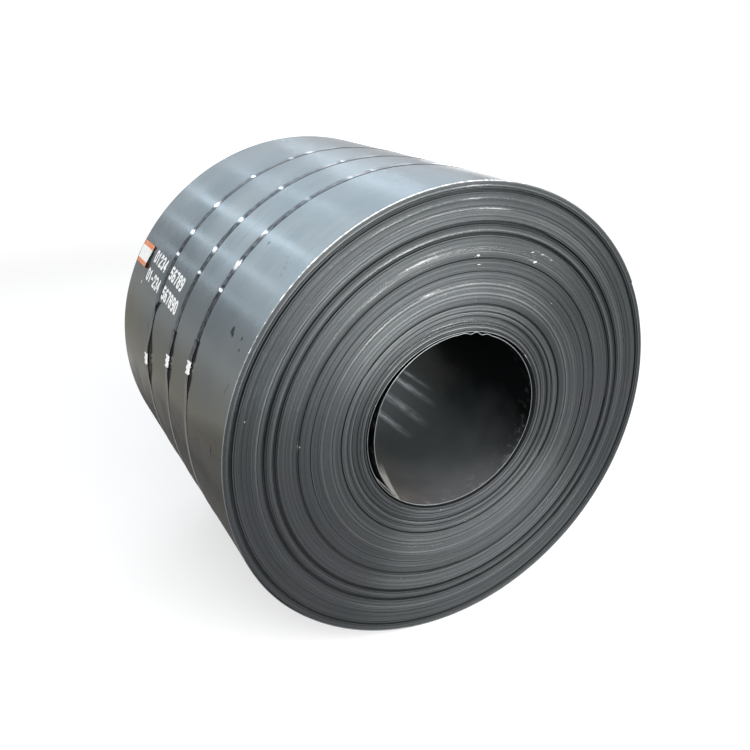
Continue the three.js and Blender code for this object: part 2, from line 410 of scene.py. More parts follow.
# deep rings: inner radius, outer radius and depth beyond the dish, all in millimetres
deep_rings = [
    (431, 436, 4), (436, 451, 4), (451, 459, 6.5), (501.5, 509.5, 9), (634.5, 638, 5),
    (683.5, 691, 8), (769.5, 782, 14), (811.5, 823.5, 14), (929, 941.5, 12),
]
# shallow rings: middle radius, depth and width
shallow_rings = [
    (404, 3, 3), (422, 3, 3.5), (475, 4, 4), (545, 1.5, 3), (608, 1.2, 3), (661, 1.0, 4),
    (695, 2, 3.5), (767, 4, 4), (785, 3, 5), (808, 4, 5), (827, 3, 5), (843, 1.2, 3),
    (866, 1.6, 3), (879, 2, 3), (899, 1.2, 3), (925, 3, 5), (945, 3, 5),
]
# proud rings, which catch the light: middle radius, strength and width
proud_rings = [
    (412, 0.9, 4), (428, 0.4, 3), (440, 0.25, 10), (463, 0.4, 3), (488, 0.5, 6),
    (519, 0.4, 5), (538, 0.3, 26), (562, 0.22, 55), (590, 0.25, 6), (649, 0.2, 5),
    (704, 0.3, 6), (789, 0.5, 6), (828, 0.3, 5), (869, 0.3, 4), (908, 0.3, 5),
    (952, 0.3, 4), (967, 1.0, 4),
]

rng = np.random.default_rng(7)
step_knots = rng.uniform(0, 1, 600)
tone_knots = rng.normal(0, 1, 900)
band_knots = rng.normal(0, 1, 130)
steps_per_turn, tones_per_turn = 3 / 1.3, 900 / 186
random_step, proud_step = 0.7, 1.2


def middle_mm(travel):
    """Radius of the middle of the strip's thickness, in millimetres."""
    return (strip_inside(travel) + strip_thickness / 2) * 1000


def along_strip(knots, travel, per_turn):
    """Random values laid along the strip, so many to the turn, and joined by straight lines.
    Neighbouring turns then differ, while each changes slowly as it goes round."""
    return np.interp(travel / 360 * per_turn, np.arange(len(knots)), knots)


def ring(r, middle, width):
    """1 in the middle of a ring and 0 well away from it: a bell curve of that width."""
    return np.exp(-((r - middle) / (0.6 * width)) ** 2)


def creep(travel):
    """How far towards the far end a turn sits, in metres: dish plus rings plus a small step."""
    r = middle_mm(travel)
    depth = np.interp(r / 1000, dish_radii, dish_depths)
    for inner, outer, deep in deep_rings:
        depth = depth + deep * ((r > inner) & (r < outer))
    for middle, deep, width in shallow_rings:
        depth = depth + deep * (np.abs(r - middle) < width / 2)
    depth = depth + random_step * along_strip(step_knots, travel, steps_per_turn)
    for middle, strength, width in proud_rings:
        depth = depth - proud_step * strength * ring(r, middle, width)
    return np.clip(depth, 0, most_creep) / 1000


deepest = creep(np.arange(0, whole_travel, 4.0)).max()
print("deepest turn", round(float(deepest) * 1000, 1), "mm")

# %% Say how bright each edge is
# how much each thing adds to an edge's tone
turn_tone, band_tone = 0.09, 0.09
# deep and shallow rings darken an edge, partly for dust and partly as painted shade; proud rings
# lighten it, partly rubbed clean and partly a painted highlight
deep_dust_and_shade_tone, shallow_dust_and_shade_tone, proud_wear_and_highlight_tone = -0.03, -0.07, 0.38
bore_rim_tone, outer_rim_tone = 0.40, 0.35
# random bands, from a radius of 380 mm outwards, and the turns that count as the two rims
first_band, band_width = 380, 4.8
bore_rim_end, outer_rim_start = 560, whole_travel - 350


def edge_tone(travel):
    """How bright the sheared edge of a turn is, from -1 to 1: bright on proud rings, dark on
    deep and shallow ones, bright round the rims of the bore and the coil, a random share that
    changes from turn to turn, and another that changes about every 5 mm outwards."""
    r = middle_mm(travel)
    tone = turn_tone * along_strip(tone_knots, travel, tones_per_turn)
    wander = 3 * np.sin(np.radians(inner_tail_angle - travel)) + 0.01 * travel / 360 * r / 100
    tone = tone + band_tone * np.interp((r - first_band + wander) / band_width,
                                        np.arange(len(band_knots)), band_knots)
    for inner, outer, deep in deep_rings:
        tone = tone + deep_dust_and_shade_tone * deep * ((r > inner) & (r < outer))
    for middle, deep, width in shallow_rings:
        tone = tone + shallow_dust_and_shade_tone * deep * ring(r, middle, width)
    for middle, strength, width in proud_rings:
        tone = tone + proud_wear_and_highlight_tone * strength * ring(r, middle, width)
    tone = tone + bore_rim_tone * (travel < bore_rim_end)
    tone = tone + outer_rim_tone * (travel > outer_rim_start)
    return np.clip(tone, -1, 1)


print("rings:", len(deep_rings), "deep,", len(shallow_rings), "shallow and", len(proud_rings),
      "proud")

# %% Say how bruised each edge is
# scuffed rings, where handling has bruised the edges faintly: middle radius and width in mm
scuffed_rings = [(722, 26), (590, 22), (790, 5), (868, 12), (906, 7), (430, 20)]
# bruises, where a hook or a sling has dragged: angle, radius, half its length in degrees, half
# its width in mm, and strength
bruises = [
    (62, 748, 8, 3, 0.85), (65, 708, 1.2, 4, 1.5), (69, 606, 9, 5, 0.55), (87.5, 700, 1.0, 5, 1.5),
    (87.5, 666, 0.8, 3, 1.4), (101, 741, 9, 4, 0.65), (106, 727, 6, 5, 0.6), (107, 697, 6, 5, 0.6),
    (108, 668, 5, 2, 0.6), (106, 596, 4, 5, 0.6), (100, 572, 9, 7, 0.5), (122, 710, 6, 5, 0.45),
    (90, 951, 7, 3, 0.9), (83, 868, 5, 5, 0.55), (98, 872, 14, 5, 0.3), (110, 789, 12, 2.5, 0.6),
    (89, 906, 1.3, 2.5, 0.9), (112, 903, 8, 2.5, 0.5), (120, 831, 9, 2.5, 0.55),
    (50, 883, 4, 3, 0.5), (48, 615, 1, 3, 0.8), (128, 590, 8, 5, 0.4), (174, 686, 0.8, 4, 0.9),
    (25, 700, 5, 4, 0.4), (290, 600, 12, 5, 0.3), (315, 720, 10, 4, 0.3), (285, 500, 8, 5, 0.4),
    (98, 436, 12, 3, 0.25), (75, 418, 12, 3, 0.2),
]
# the scuffed rings' strength, and the angle that they are strongest at and how far they spread;
# the angle keeps them to the lit top of the end, so they are partly painted highlight
scuff_strength, scuff_highlight_angle, scuff_highlight_spread = 0.45, 97, 38
# the burr on the coil's rim: strength, radius and width in mm, angle and spread; the angle
# keeps it to the lit top, so it is partly painted highlight
burr_strength, burr_radius, burr_width, burr_highlight_angle, burr_highlight_spread = 1.15, 968, 4, 108, 42
worn_bore_rim, most_bruised = 0.15, 1.5


def scuffing(travel):
    """How bruised the edges are, from 0 up: the scuffed rings, strongest at 97 degrees and
    fading away over 40 degrees on either side, the rim's own burr from 55 to 160 degrees, the
    worn rim of the bore, and the bruises, each a bell curve round its own place. The scuffs
    and the burr are kept to the top of the end, where the light catches them, so they are
    partly painted highlight."""
    r = middle_mm(travel)
    at = np.mod(inner_tail_angle - travel, 360)
    scuffed = scuff_strength * np.exp(-((at - scuff_highlight_angle) / scuff_highlight_spread) ** 2)
    bruised = scuffed * sum(ring(r, middle, width) for middle, width in scuffed_rings)
    burr = burr_strength * ring(r, burr_radius, burr_width)
    bruised = bruised + burr * np.exp(-((at - burr_highlight_angle) / burr_highlight_spread) ** 4)
    bruised = bruised + worn_bore_rim * (travel < bore_rim_end)
    for angle, middle, half_length, half_width, strength in bruises:
        bruised = bruised + strength * np.exp(
            -((at - angle) / half_length) ** 2 - ((r - middle) / half_width) ** 2)
    return np.clip(bruised, 0, most_bruised)


print("bruised places:", len(bruises), "and scuffed rings:", len(scuffed_rings))

# %% [markdown]
# ## Finishes
#
# Each finish is a small tree of nodes round one shader. More helpers keep the trees short:
# one makes clouds of noise, one mixes two colours by a factor, one marks an oval spot, and
# one raises a relief. Patterns that follow the strip read its own measure, stored in the
# mesh as metres round the coil, number of turns, and metres along the axis.

# %% Helpers for finishes
def finish(name):
    """A new material. Gives it with its shader and its tree of nodes."""
    material = bpy.data.materials.new(name)
    material.use_nodes = True
    tree = material.node_tree
    return material, tree.nodes["Principled BSDF"], tree


def place_in(tree):
    """The place of each point of the surface, in metres."""
    return add(tree, "TexCoord")["Object"]


def stored(tree, name, output="Fac"):
    """What the mesh stores for each point under that name: a number, or a Vector of three."""
    return add(tree, "Attribute", attribute_name=name)[output]


def split(vector):
    """The X, Y and Z of a vector, by those names."""
    return add(vector.id_data, "SeparateXYZ", {0: vector})


def noise(place, scale, detail, rough=0.5, stretch=(1, 1, 1)):
    """Cloudy noise from 0 to 1 at a place, after the place is stretched along its axes."""
    tree = place.id_data
    stretched = add(tree, "Mapping", {"Vector": place, "Scale": stretch})[0]
    return add(tree, "TexNoise", {"Vector": stretched, "Scale": scale, "Detail": detail,
                                  "Roughness": rough})["Fac"]


def blended(factor, first, second):
    """The first colour where the factor is 0 and the second where it is 1. The node has
    sockets for several kinds of value, and these numbers are those for colours."""
    return add(factor.id_data, "Mix", {0: factor, 6: first, 7: second}, data_type="RGBA")[2]


def from_spot(place, middle, half_x, half_z):
    """How far a place lies from the middle of an oval spot, as seen along Y: 0 in the middle
    and 1 on the oval. The offset is divided by the half lengths, and its length is taken."""
    tree = place.id_data
    offset = add(tree, "VectorMath", {0: place, 1: middle}, operation="SUBTRACT")[0]
    scaled = add(tree, "VectorMath", {0: offset, 1: (1 / half_x, 0, 1 / half_z)},
                 operation="MULTIPLY")[0]
    return add(tree, "VectorMath", {0: scaled}, operation="LENGTH")["Value"]


def mark(measure, cloud, angle, along, half_round, half_along):
    """Nearly 1 in an oval spot on the outermost turn and 0 outside it, with an edge that a
    cloud makes ragged. The spot is placed by its angle and by metres from the near rim."""
    round_metres = math.radians((outer_tail_angle - angle) % 360) * rim_radius
    distance = from_spot(measure, (round_metres, 0, along), half_round, half_along)
    return ranged(plus(distance, cloud), 1.2, 1.7, 0.85, 0.0)


def relief(height, metres):
    """A surface raised by a height from 0 to 1, times that many metres."""
    return add(height.id_data, "Bump", {"Height": height, "Strength": 1.0,
                                        "Distance": metres})["Normal"]


print("helpers for finishes ready")

# %% [markdown]
# ### Mill scale
#
# Hot steel grows a thin blue-grey skin of oxide as it leaves the mill. It is half a metal and
# half a glaze: it mirrors softly, and its colour drifts in clouds a hand or two across. Thin
# streaks run the way the strip was rolled, and there are a few faint scratches.
#
# A brownish dust has settled on the lower half. It follows height and noise together, so it
# has no hard edge. The foot of the side is painted dark, higher at the near end, and the scale
# below a line that falls towards the far end is painted darker too: both are painted shade,
# for the dark floor that the side mirrors there, and both take the glaze away with the
# colour. A few oil spots, dark scrapes and one pale drip lie where they fell. Under each strap,
# where it stands off the coil at its seal, a black rough patch is painted shade for the dark
# gap beneath it.
#
# A painted image could be wrapped round the side, but it would blur close by and show its
# seam. Noise worked out in space does neither, and the few spots that matter are placed one
# by one.

# %% Colours of the mill scale and of what lies on it
deep_blue, pale_blue = (0.146, 0.170, 0.184), (0.195, 0.224, 0.242)
grey_scale, streak_grey = (0.180, 0.182, 0.172), (0.125, 0.138, 0.150)
dust_brown, foot_shade_black, splash_shade_colour = (
    (0.166, 0.155, 0.130), (0.038, 0.036, 0.033), (0.030, 0.027, 0.023))
scratch_grey, oil_black, drip_white = (0.24, 0.25, 0.26), (0.022, 0.023, 0.025), (0.75, 0.75, 0.73)
gap_shade_black = (0.002, 0.002, 0.002)
clean_glaze, dusty_glaze, shaded_glaze = (0.50, 0.52, 0.54), (0.44, 0.43, 0.39), (0.04, 0.04, 0.04)
no_glaze = (0.0, 0.0, 0.0)

# oil spots and scrapes: angle, metres from the near rim, half length round and half along
oil_spots = [
    (150.3, 0.183, 0.016, 0.013), (151.0, 0.168, 0.009, 0.009), (150.3, 0.091, 0.008, 0.006),
    (152.5, 0.073, 0.006, 0.005), (130.9, 0.352, 0.007, 0.005), (131.4, 0.158, 0.004, 0.002),
    (132.6, 0.138, 0.004, 0.002), (133.8, 0.122, 0.005, 0.002), (135.4, 0.104, 0.004, 0.002),
    (160.0, 0.056, 0.013, 0.002), (161.3, 0.066, 0.009, 0.002), (168.5, 1.200, 0.045, 0.003),
    (166.5, 1.065, 0.030, 0.0025), (176, 0.120, 0.020, 0.006),
]
pale_drip = (158.1, 1.324, 0.010, 0.007)
# the painted shade under each strap at its seal: half its length round the coil and half its width
gap_shade_size = (0.130, 0.0150)
print("spots on the side:", len(oil_spots) + 1)

# %% Mill scale
mill_scale, shader, tree = finish("mill_scale")
place, measure = place_in(tree), stored(tree, "measure", "Vector")
_, along_axis, height = split(place)

clouds = noise(place, 2.6, 5, 0.55)
patches = noise(place, 1.3, 3)
streaks = noise(measure, 1.0, 4, 0.6, (0.7, 1, 34))
grain = noise(measure, 1.0, 3, 0.6, (60, 1, 160))
scratches = noise(measure, 1.0, 2, 0.5, (9, 1, 420))
blue = blended(ranged(clouds, 0.35, 0.68), deep_blue, pale_blue)
tinted = blended(ranged(patches, 0.50, 0.72, 0, 0.6), blue, grey_scale)
streaked = blended(ranged(streaks, 0.45, 0.75, 0, 0.22), tinted, streak_grey)

# dust lies below about 1.1 m and thins out up to 1.5 m
dust = ranged(plus(height, times(clouds, -0.35)), 0.92, 1.30, 0.85, 0.0)
dusty = blended(dust, streaked, dust_brown)
# painted shade on the foot, for the dark floor that it mirrors: it reaches up to about a metre at
# the near end and a quarter of a metre less at the far
ragged = plus(plus(height, times(along_axis, 0.17)), times(clouds, -0.30))
foot_shade = ranged(ragged, 0.67, 0.89, 0.92, 0.0)
foot_shaded = blended(foot_shade, dusty, foot_shade_black)
# painted shade below a line that falls by 27 cm for each metre towards the far end, where the side
# mirrors a dark floor
shade_line = plus(height, times(along_axis, 0.27))
splash_shade = times(ranged(shade_line, 0.90, 0.97, 1, 0),
                 ranged(along_axis, -0.60, 0.30, 0.22, 0.03))
splash_shaded = blended(splash_shade, foot_shaded, splash_shade_colour)
marked = blended(ranged(scratches, 0.73, 0.77, 0, 0.2), splash_shaded, scratch_grey)
for spot in oil_spots:
    marked = blended(mark(measure, clouds, *spot), marked, oil_black)
marked = blended(mark(measure, clouds, *pale_drip), marked, drip_white)
# painted shade: black, dull and rough where each strap stands off the coil at its seal, for the
# dark gap beneath it
under = 0.0
for strap in straps.values():
    gathered = mark(measure, clouds, strap["seal_angle"], strap["place"], *gap_shade_size)
    under = reckon("MAXIMUM", under, gathered)
under = ranged(under, 0, 0.85)

glaze = blended(dust, clean_glaze, dusty_glaze)
# the painted shade takes the glaze away too, so it mirrors little
for shading in (splash_shade, foot_shade):
    glaze = blended(shading, glaze, shaded_glaze)
polish = ranged(plus(clouds, times(grain, 0.25)), 0.45, 0.80, 0.17, 0.26)
dullness = reckon("MAXIMUM", under, times(foot_shade, 0.50))
feed(shader, {
    "Base Color": blended(under, marked, gap_shade_black),
    "Metallic": times(reckon("SUBTRACT", 1.0, under), ranged(foot_shade, 0, 1, 0.9, 0.35)),
    "Specular Tint": blended(under, glaze, no_glaze),
    "Roughness": plus(polish, dullness),
})
print("made", mill_scale.name, "with", len(tree.nodes), "nodes")

# %% [markdown]
# ### Scale in the bore
#
# The wall of the bore has never been rubbed clean: it keeps dull dark scale, with dust on its
# lower half. The dust is painted pale at the mouth and darker deeper in, which is painted
# shade. Towards the far end four streaks that run along the axis are painted highlights, for
# light reflected on waves of the strip. Close to the strip's inner end a pale patch is painted
# light, where the inside of the loose turn is lit. Both are placed by the strip's own measure,
# and the dust by height. The finish of the side could be used here too, only darker, but the
# two have aged in different ways: one was rubbed and rained on, and the other only gathered
# dust.
#
# The faces of the tight turns, which hardly show, wear a plain dull scale.

# %% Scale in the bore
dull_scale, brown_scale = (0.019, 0.023, 0.024), (0.029, 0.025, 0.018)
mouth_dust, shaded_deep_dust, brown_dust = (
    (0.120, 0.125, 0.130), (0.046, 0.053, 0.055), (0.130, 0.110, 0.098))
rust_bloom, lit_patch_colour, streak_highlight_colour = (
    (0.26, 0.235, 0.235), (0.38, 0.37, 0.34), (0.42, 0.44, 0.46))
# painted highlight streaks, for light reflected along waves of the strip: angle, half width in
# degrees, metres from the near rim and strength
streak_highlights = [(-32.7, 1.2, 0.66, 0.45), (-41, 1.9, 0.57, 0.6), (-56.5, 2.6, 0.52, 0.6),
                (-72, 2.2, 0.52, 0.9)]

bore_scale, shader, tree = finish("bore_scale")
place, measure = place_in(tree), stored(tree, "measure", "Vector")
_, _, height = split(place)
_, turned, inward = split(measure)
clouds = noise(place, 5, 5, 0.6)
far_down = ranged(inward, 0.40, 0.75)
wall = blended(times(far_down, ranged(clouds, 0.35, 0.6)), dull_scale, brown_scale)
settled = ranged(plus(height, times(clouds, -0.25)), 0.45, 0.82, 1.0, 0.0)
# the dust is painted darker deeper into the bore: painted shade
wall = blended(settled, wall, blended(ranged(inward, 0.0, 0.5), mouth_dust, shaded_deep_dust))
brown = ranged(turned, 0.88, 0.97, 0, 0.6)
wall = blended(times(brown, settled), wall, brown_dust)
rust = ranged(noise(place, 26, 5, 0.7), 0.54, 0.62, 0, 0.6)
at_mouth = ranged(inward, 0.02, 0.10, 1, 0)
wall = blended(times(rust, at_mouth), wall, rust_bloom)
# the painted lit patch, where the inside of the loose turn catches the light, slants away from the
# strip's inner end
slant = plus(turned, times(inward, 0.156))
lit_patch = times(ranged(slant, 0.9850, 0.9880), ranged(turned, 0.998, 1.0, 1, 0))
lit_patch = times(lit_patch, ranged(inward, 0.25, 0.4, 1, 0))
wall = blended(lit_patch, wall, lit_patch_colour)
# painted highlights: streaks along the axis near the far end of the bore
flicker = ranged(noise(measure, 1.0, 4, 0.6, (60, 1, 12)), 0.35, 0.62, 0.25, 1.0)
for angle, half_width, start, strength in streak_highlights:
    wave = (inner_tail_angle - angle) / 360
    beside = reckon("ABSOLUTE", reckon("SUBTRACT", turned, wave))
    streak_highlight = times(ranged(beside, 0, 1.6 * half_width / 360, strength, 0),
                        ranged(inward, start, start + 0.25))
    wall = blended(times(streak_highlight, flicker), wall, streak_highlight_colour)
feed(shader, {
    "Base Color": wall,
    "Metallic": ranged(reckon("MAXIMUM", settled, lit_patch), 0, 1, 0.85, 0.2),
    "Specular Tint": (0.36, 0.37, 0.37), "Specular IOR Level": 0.3,
    "Roughness": ranged(settled, 0, 1, 0.24, 0.5),
})
print("made", bore_scale.name, "with", len(tree.nodes), "nodes")

# %% Scale on the hidden faces
hidden_scale, shader, tree = finish("hidden_scale")
feed(shader, {"Base Color": (0.035, 0.038, 0.040), "Metallic": 0.3, "Specular IOR Level": 0.2,
              "Specular Tint": (0.3, 0.3, 0.3), "Roughness": 0.5})
print("made", hidden_scale.name)

# %% [markdown]
# ### Sheared edges
#
# The slitting knives leave each edge of the strip half cut and half torn, so the ends of the
# coil are a fine stack of dull grey lines with a bright burr here and there. Noise alone
# could vary the tone, but it doesn't know where one turn stops and the next begins. So every
# turn has its own tone, which the mesh carries, and noise only roughens it.
#
# The burrs are small bright flecks, longer round the coil than across a turn, and there are
# more of them where the mesh says that the edges were bruised. A dozen nicks show bare metal,
# and each is a small oval with a chipped outline.

# %% Sheared edges
dark_edge, dull_edge, pale_edge = (
    (0.010, 0.012, 0.012), (0.052, 0.057, 0.059), (0.26, 0.278, 0.283))
tarnished, bruised_steel = (0.056, 0.058, 0.064), (0.30, 0.31, 0.31)
burr_and_glint_white, bright_nick = (0.62, 0.62, 0.61), (0.75, 0.75, 0.74)
# nicks: angle, radius, half length and half height in metres
nicks = [
    (87, 0.697, 0.013, 0.0050), (86, 0.663, 0.012, 0.0025), (64.5, 0.708, 0.014, 0.0050),
    (63, 0.745, 0.012, 0.0015), (67, 0.738, 0.014, 0.0015), (59, 0.743, 0.009, 0.0012),
    (174, 0.680, 0.006, 0.0040), (48, 0.612, 0.004, 0.0030), (89, 0.901, 0.006, 0.0015),
    (86, 0.899, 0.004, 0.0015), (111, 0.727, 0.007, 0.0015), (166, 0.900, 0.004, 0.0030),
]

sheared, shader, tree = finish("sheared_edge")
place, measure = place_in(tree), stored(tree, "measure", "Vector")
tone, scuff = stored(tree, "tone"), stored(tree, "scuff")
torn = noise(measure, 1.0, 3, 0.6, (40, 1.3, 0))
tarnish = noise(place, 2.2, 4, 0.55)
burr = noise(measure, 1.0, 4, 0.75, (60, 1.7, 0))
speck = noise(measure, 1.0, 1, 0.5, (95, 1.9, 0))
chipped = noise(place, 170, 2, 0.6)
toned = plus(tone, times(reckon("SUBTRACT", torn, 0.5), 0.7))
edge = blended(ranged(toned, -0.9, 0.1), dark_edge, dull_edge)
edge = blended(ranged(toned, 0.05, 1.0), edge, pale_edge)
edge = blended(ranged(tarnish, 0.45, 0.65, 0, 0.45), edge, tarnished)
bruise = ranged(plus(times(scuff, 0.38), burr), 0.70, 1.0, 0, 0.45)
edge = blended(bruise, edge, bruised_steel)
# bright flecks follow the scuffs and are kept to the lit top: partly burr, partly painted glints
fleck = ranged(plus(speck, times(scuff, 0.24)), 0.76, 0.82)
edge = blended(fleck, edge, burr_and_glint_white)
for angle, radius, half_length, half_height in nicks:
    a = math.radians(angle)
    middle = ((radius + sag) * math.cos(a), 0, (radius - sag) * math.sin(a) + axis_height)
    chip = plus(from_spot(place, middle, half_length, half_height), times(chipped, 2.4))
    edge = blended(ranged(chip, 1.55, 1.85, 0.9, 0.0), edge, bright_nick)
feed(shader, {"Base Color": edge, "Metallic": 1.0,
              "Roughness": ranged(torn, 0.3, 0.7, 0.16, 0.28)})
print("made", sheared.name, "with", len(tree.nodes), "nodes")

# %% [markdown]
# ## Carrying a section along the strip
#
# All the steel here is one shape: a thin rectangle, carried along a path round the axis. The
# rectangle's short sides are drawn out into a low ridge, because a sheared edge is never
# square. The ridge is what makes the ends gleam: on every turn it leans a little inwards on
# one side and a little outwards on the other, so somewhere it faces the light.
#
# Blender can carry a section along a curve by itself, but its turns couldn't each have their
# own depth, and its points couldn't carry a measure for the finishes. So the points are
# worked out here. They form one grid, with a row for each place along the path and a column
# for each corner of the section, and numpy reckons all of them at once.

# %% Helpers for solids
def crease_between_finishes(mesh):
    """Creases every edge whose faces wear different finishes: each corner of a face adds its
    finish to its edge, as a lowest and as a highest, and the edge is creased where they
    differ."""
    edge_of = np.empty(len(mesh.loops), np.int32)
    mesh.loops.foreach_get("edge_index", edge_of)
    finish_of = np.empty(len(mesh.polygons), np.int32)
    mesh.polygons.foreach_get("material_index", finish_of)
    corners = np.empty(len(mesh.polygons), np.int32)
    mesh.polygons.foreach_get("loop_total", corners)
    finish_of = np.repeat(finish_of, corners)
    lowest, highest = np.full(len(mesh.edges), 99), np.full(len(mesh.edges), -1)
    np.minimum.at(lowest, edge_of, finish_of)
    np.maximum.at(highest, edge_of, finish_of)
    crease = mesh.attributes.new("sharp_edge", "BOOLEAN", "EDGE")
    crease.data.foreach_set("value", lowest != highest)


def build_mesh(name, points, faces, wears, finishes, smooth_below):
    """Puts points and faces into a mesh, with a finish's number for each face, smooth shading
    and creases where two faces meet at more than smooth_below degrees, or where two finishes
    meet if smooth_below is None."""
    mesh = bpy.data.meshes.new(name)
    mesh.from_pydata(points.tolist(), [], faces)
    for material in finishes:
        mesh.materials.append(material)
    mesh.polygons.foreach_set("material_index", np.asarray(wears, np.int32))
    mesh.shade_smooth()
    if smooth_below is None:
        crease_between_finishes(mesh)
    else:
        mesh.set_sharp_from_angle(angle=math.radians(smooth_below))
    mesh.update()
    piece = bpy.data.objects.new(name, mesh)
    bpy.context.scene.collection.objects.link(piece)
    print(name, "has", len(points), "points and", len(mesh.loops) - 2 * len(faces), "triangles")
    return piece


def store(piece, name, values):
    """Keeps a number for each point in the mesh, or a row of three numbers for each, under a
    name that the finishes read."""
    kind, field = ("FLOAT_VECTOR", "vector") if values.ndim == 2 else ("FLOAT", "value")
    kept = piece.data.attributes.new(name, kind, "POINT")
    kept.data.foreach_set(field, values.astype(np.float32).ravel())


def volume(points, quads):
    """Signed volume of a closed mesh of quads: over its triangles, one sixth of the triple
    product of their corners. It is positive when the faces point outwards."""
    a, b, c, d = (points[quads[:, k]] for k in range(4))
    first = np.einsum("ij,ij->i", a, np.cross(b, c)).sum()
    return (first + np.einsum("ij,ij->i", a, np.cross(c, d)).sum()) / 6


def facing_out(points, quads, caps=()):
    """One list of faces that point outwards. The caps are given as the other side of the
    quads, so either the quads are turned over or the caps are."""
    if volume(points, quads) < 0:
        return quads[:, ::-1].tolist() + list(caps)
    return quads.tolist() + [cap[::-1] for cap in caps]


def grid_quads(rows, columns):
    """The quads of a grid whose columns close into a loop: each joins a point to the next in
    its row and to the same two in the next row. Also gives each quad's column."""
    i, j = np.meshgrid(np.arange(rows - 1), np.arange(columns), indexing="ij")
    k = (j + 1) % columns
    quads = np.stack([i * columns + j, i * columns + k, (i + 1) * columns + k,
                      (i + 1) * columns + j], axis=-1)
    return quads.reshape(-1, 4), j.reshape(-1)


print("helpers for solids ready")

# %% A length of the strip
ridge = 0.0012
print("an edge is drawn out by", round(ridge * 1000, 2), "mm")


def end_caps(rows, sides):
    """Faces that close the two ends of a carried section with that many points on each long
    side: quads between the two sides, and one triangle under each ridge."""
    outer = 1 + np.arange(sides)
    inner = 2 * sides + 1 - np.arange(sides)
    cap = [(0, 1, inner[0])]
    cap += [(outer[k], outer[k + 1], inner[k + 1], inner[k]) for k in range(sides - 1)]
    cap += [(outer[-1], sides + 1, inner[-1])]
    last = (rows - 1) * (2 * sides + 2)
    return cap + [tuple(last + v for v in reversed(face)) for face in cap]


def wound_strip(name, travel, across, faces_wear, swell=None):
    """A length of the strip. travel: angles from its inner end. across: places over its width
    from 0 to 1, near end first. Each point lies at the strip's inside radius, plus one
    thickness on the outer face and half on the ridges, plus swell(angle, metres from the near
    rim) where that is given."""
    sides, columns = len(across), 2 * len(across) + 2
    thick = np.concatenate([[0.5], np.ones(sides), [0.5], np.zeros(sides)]) * strip_thickness
    flat = across * (strip_width - 2 * ridge) + ridge
    along = np.concatenate([[0], flat, [strip_width], flat[::-1]])
    angle = (inner_tail_angle - travel)[:, None]
    radius = strip_inside(travel)[:, None] + thick
    if swell is not None:
        radius = radius + swell(angle, along[None, :])
    y = near_rim + creep(travel)[:, None] + along
    points = on_coil(angle, radius, y).reshape(-1, 3)

    quads, column = grid_quads(len(travel), columns)
    caps = end_caps(len(travel), sides)
    is_edge = np.isin(column, (0, sides, sides + 1, columns - 1))
    wears = np.concatenate([is_edge.astype(int), np.ones(len(caps), int)])
    piece = build_mesh(name, points, facing_out(points, quads, caps), wears,
                       [faces_wear, sheared], None)

    round_metres = np.radians(travel - travel[0])[:, None] * radius
    measured = np.broadcast_arrays(round_metres, (travel / 360)[:, None], along[None, :])
    store(piece, "measure", np.stack(measured, axis=-1).reshape(-1, 3))
    store(piece, "tone", np.repeat(edge_tone(travel), columns))
    store(piece, "scuff", np.repeat(scuffing(travel), columns))
    return piece


# %% [markdown]
# ### The tight turns
#
# All but the outermost turn and the sprung ones are one piece. Only its edges are ever seen,
# so its section has just six points, and 90 places a turn keep each turn round.

# %% Wind the tight turns
# a hairline of angle, in degrees, keeps the pieces of the strip apart
hairline = 0.02
outer_start = whole_travel - 360
tight = wound_strip("wound_turns", np.arange(sprung_travel, outer_start + 1, 4.0),
                    np.array([0.0, 1.0]), hidden_scale)

# %% [markdown]
# ### The outermost turn
#
# This is the side of the coil, so its grid is fine. It isn't perfectly true: shallow waves
# run along the strip, and near the near rim it bulges a few millimetres off the turn beneath
# it. Both could be pushed into the mesh by hand. As formulas of angle and place they stay
# where they are when the grid is made finer. The waves only go inwards, and the bulge lies
# low on the side, so neither goes past the box round the solids.

# %% Wind the outermost turn
bulge_height, bulge_angle, bulge_spread, bulge_length = 0.0042, 214, 13, 0.055
# waves: how many to the turn, radians for each metre along the axis, and a start in radians
waves = [(9, 4, 0), (23, -2.5, 1), (5, 7, 1.3)]
wave_height, settling = 0.00004, 12


def outer_swell(angle, along):
    """Metres the outermost turn stands off its circle: a bulge at 214 degrees that fades over
    60 mm from the near rim, less three waves, which add up to a quarter of a millimetre."""
    at = np.mod(angle, 360)
    bulge = (bulge_height * np.exp(-((at - bulge_angle) / bulge_spread) ** 2)
             * np.exp(-(along / bulge_length) ** 2))
    rise = sum(np.sin(np.radians(at) * count + slant * along + start)
               for count, slant, start in waves)
    settled = np.clip((at - outer_tail_angle) / settling, 0, 1)
    return bulge + wave_height * (rise - len(waves)) * settled


close_then_wide = np.concatenate([np.linspace(0, 0.05, 8), np.linspace(0.08, 0.95, 34),
                                  np.linspace(0.965, 1, 5)])
outermost = wound_strip("outer_turn", np.arange(outer_start + hairline, whole_travel + 0.5, 1.0),
                        close_then_wide, mill_scale, outer_swell)

# %% [markdown]
# ### The sprung turns
#
# The first turn and a half hang loose in the bore. Their near edge was bumped by the hook and
# is slightly frilled at the top. Noise would frill the turn behind as well, so the frill is a
# short ripple that is kept to one place on one turn.

# %% Wind the sprung turns
frill_height, frill_angle, frill_spread, frill_length = 0.005, 79, 9, 0.03
ripples_per_turn = 42


def frill(angle, along):
    """Metres that the innermost turn's near edge wanders: a short ripple between 62 and 96
    degrees that dies out within 60 mm of the edge. Turns further out keep still."""
    first = np.clip((angle - (inner_tail_angle - 300)) / 20, 0, 1)
    window = np.exp(-((angle - frill_angle) / frill_spread) ** 2)
    ripple = np.sin(np.radians(angle) * ripples_per_turn)
    return frill_height * first * window * ripple * np.exp(-(along / frill_length) ** 2)


